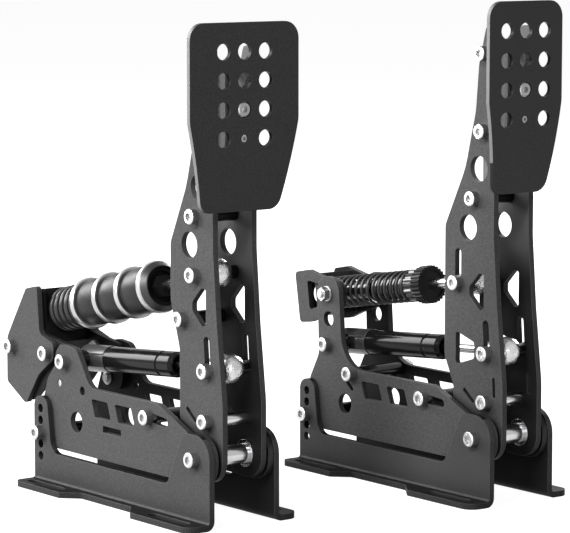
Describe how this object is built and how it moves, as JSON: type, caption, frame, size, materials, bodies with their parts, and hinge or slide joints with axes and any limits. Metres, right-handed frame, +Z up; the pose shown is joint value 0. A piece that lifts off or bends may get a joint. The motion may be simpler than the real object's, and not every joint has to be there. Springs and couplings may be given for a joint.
{
  "type": "sim racing pedal set",
  "caption": "Brake and throttle modules for a racing simulator: folded steel feet and frames, tall arms with perforated faces, sprung push rods and dampers.",
  "frame": {"origin": "middle of the set's footprint, on the floor", "axes": "+Z up, -Y towards the driver, +X to the driver's right, so the brake is on the -X side"},
  "size_m": [0.283, 0.3, 0.336],
  "materials": {
    "plate_black": "satin powder coat",
    "face_black": "satin powder coat",
    "mount_black": "satin powder coat",
    "carrier_black": "satin powder coat",
    "bright_fasteners": "bright zinc",
    "turned_steel": "turned",
    "washer_steel": "polished edge",
    "cup_grey": "satin",
    "turned_aluminium": "turned",
    "cell_aluminium": "satin",
    "knob_black": "semi-gloss, knurled",
    "elastomer_rubber": "glossy",
    "spring_steel": "semi-gloss black",
    "damper_gloss": "glossy black"
  },
  "bodies": {
    "base": {"brake_left_foot_bracket": "plate_black", "brake_right_foot_bracket": "plate_black", "brake_left_frame_plate": "plate_black", "brake_right_frame_plate": "plate_black", "brake_frame_spacers": "turned_steel", "brake_frame_bolts": "bright_fasteners", "brake_pivot_shaft": "turned_steel", "brake_left_housing_plate": "plate_black", "brake_right_housing_plate": "plate_black", "brake_housing_carrier": "carrier_black", "brake_housing_bolts": "bright_fasteners", "brake_spring_seat": "carrier_black", "brake_load_cell": "cell_aluminium", "throttle_left_foot_bracket": "plate_black", "throttle_right_foot_bracket": "plate_black", "throttle_left_frame_plate": "plate_black", "throttle_right_frame_plate": "plate_black", "throttle_frame_spacers": "turned_steel", "throttle_frame_bolts": "bright_fasteners", "throttle_pivot_shaft": "turned_steel"},
    "brake_arm": {"brake_pivot_bushes": "turned_steel", "brake_left_arm_plate": "plate_black", "brake_right_arm_plate": "plate_black", "brake_arm_spacers": "turned_steel", "brake_arm_bolts": "bright_fasteners", "brake_face_mount": "mount_black", "brake_face_plate": "face_black", "brake_face_screws": "bright_fasteners"},
    "brake_rod": {"brake_push_rod": "turned_steel", "brake_push_rod_end": "turned_steel", "brake_stack_nut": "turned_steel", "brake_stack_cup": "cup_grey", "brake_front_elastomer": "elastomer_rubber"},
    "brake_front_stack": {"brake_front_washer": "washer_steel", "brake_middle_elastomer": "elastomer_rubber"},
    "brake_middle_stack": {"brake_middle_washer": "washer_steel", "brake_rear_elastomer": "elastomer_rubber"},
    "brake_rear_stack": {"brake_rear_washer": "washer_steel", "brake_coil_spring": "spring_steel"},
    "brake_cylinder": {"brake_damper_cylinder": "damper_gloss"},
    "brake_piston": {"brake_damper_rod": "turned_steel", "brake_damper_rod_end": "turned_steel"},
    "throttle_arm": {"throttle_pivot_bushes": "turned_steel", "throttle_left_arm_plate": "plate_black", "throttle_right_arm_plate": "plate_black", "throttle_arm_spacers": "turned_steel", "throttle_arm_bolts": "bright_fasteners", "throttle_face_mount": "mount_black", "throttle_face_plate": "face_black", "throttle_face_screws": "bright_fasteners"},
    "throttle_rod": {"throttle_push_rod": "turned_steel", "throttle_push_rod_end": "turned_steel", "throttle_preload_knob": "knob_black", "throttle_spring_collar": "turned_aluminium", "throttle_coil_spring": "spring_steel"},
    "throttle_yoke": {"throttle_spring_bracket": "plate_black", "throttle_spring_guide": "turned_aluminium"},
    "throttle_cylinder": {"throttle_damper_cylinder": "damper_gloss"},
    "throttle_piston": {"throttle_damper_rod": "turned_steel", "throttle_damper_rod_end": "turned_steel"}
  },
  "joints": [
    {"name": "brake_press", "type": "hinge", "parent": "base", "child": "brake_arm", "pos_m": [-0.0965, -0.082, 0.0445], "axis": [-1, 0, 0], "range_deg": [0, 6.5], "stiffness_Nm_per_rad": 120, "springref_deg": -1.72},
    {"name": "brake_rod_swing", "type": "hinge", "parent": "brake_arm", "child": "brake_rod", "pos_m": [-0.0965, -0.069, 0.162], "axis": [-1, 0, 0], "range_deg": [-6.24, 0.05], "deforming": ["brake_front_elastomer"]},
    {"name": "brake_front_squeeze", "type": "slide", "parent": "brake_rod", "child": "brake_front_stack", "axis": [0, -0.9724, 0.2333], "range_m": [0, 0.00225], "deforming": ["brake_middle_elastomer"]},
    {"name": "brake_middle_squeeze", "type": "slide", "parent": "brake_rod", "child": "brake_middle_stack", "axis": [0, -0.9724, 0.2333], "range_m": [0, 0.00445], "deforming": ["brake_rear_elastomer"]},
    {"name": "brake_rear_squeeze", "type": "slide", "parent": "brake_rod", "child": "brake_rear_stack", "axis": [0, -0.9724, 0.2333], "range_m": [0, 0.00665], "deforming": ["brake_coil_spring"]},
    {"name": "brake_cylinder_swing", "type": "hinge", "parent": "base", "child": "brake_cylinder", "pos_m": [-0.0965, 0.075, 0.089], "axis": [-1, 0, 0], "range_deg": [-0.1, 0.146]},
    {"name": "brake_piston_swing", "type": "hinge", "parent": "brake_arm", "child": "brake_piston", "pos_m": [-0.0965, -0.082, 0.101], "axis": [-1, 0, 0], "range_deg": [-6.5, 0.05]},
    {"name": "throttle_press", "type": "hinge", "parent": "base", "child": "throttle_arm", "pos_m": [0.0965, -0.133, 0.0445], "axis": [-1, 0, 0], "range_deg": [0, 16], "stiffness_Nm_per_rad": 12, "springref_deg": -8.59},
    {"name": "throttle_rod_swing", "type": "hinge", "parent": "throttle_arm", "child": "throttle_rod", "pos_m": [0.0965, -0.103, 0.146], "axis": [-1, 0, 0], "range_deg": [-19.87, 0.05], "deforming": ["throttle_coil_spring"]},
    {"name": "throttle_yoke_swing", "type": "hinge", "parent": "base", "child": "throttle_yoke", "pos_m": [0.0965, 0.031, 0.125], "axis": [-1, 0, 0], "range_deg": [-3.87, 0.05]},
    {"name": "throttle_cylinder_swing", "type": "hinge", "parent": "base", "child": "throttle_cylinder", "pos_m": [0.0965, 0.031, 0.089], "axis": [-1, 0, 0], "range_deg": [-0.29, 0.05]},
    {"name": "throttle_piston_swing", "type": "hinge", "parent": "throttle_arm", "child": "throttle_piston", "pos_m": [0.0965, -0.133, 0.101], "axis": [-1, 0, 0], "range_deg": [-16.29, 0.05]}
  ],
  "couplings": [
    {"joint": "brake_rod_swing", "follows": "brake_press", "ratio": -0.952},
    {"joint": "brake_front_squeeze", "follows": "brake_press", "m_per_rad": 0.019392},
    {"joint": "brake_middle_squeeze", "follows": "brake_press", "m_per_rad": 0.038785},
    {"joint": "brake_rear_squeeze", "follows": "brake_press", "m_per_rad": 0.058177},
    {"joint": "brake_cylinder_swing", "follows": "brake_press", "ratio": 0.007},
    {"joint": "brake_piston_swing", "follows": "brake_press", "ratio": -0.993},
    {"joint": "throttle_rod_swing", "follows": "throttle_press", "ratio": -1.239},
    {"joint": "throttle_yoke_swing", "follows": "throttle_press", "ratio": -0.239},
    {"joint": "throttle_cylinder_swing", "follows": "throttle_press", "ratio": -0.015},
    {"joint": "throttle_piston_swing", "follows": "throttle_press", "ratio": -1.015}
  ]
}
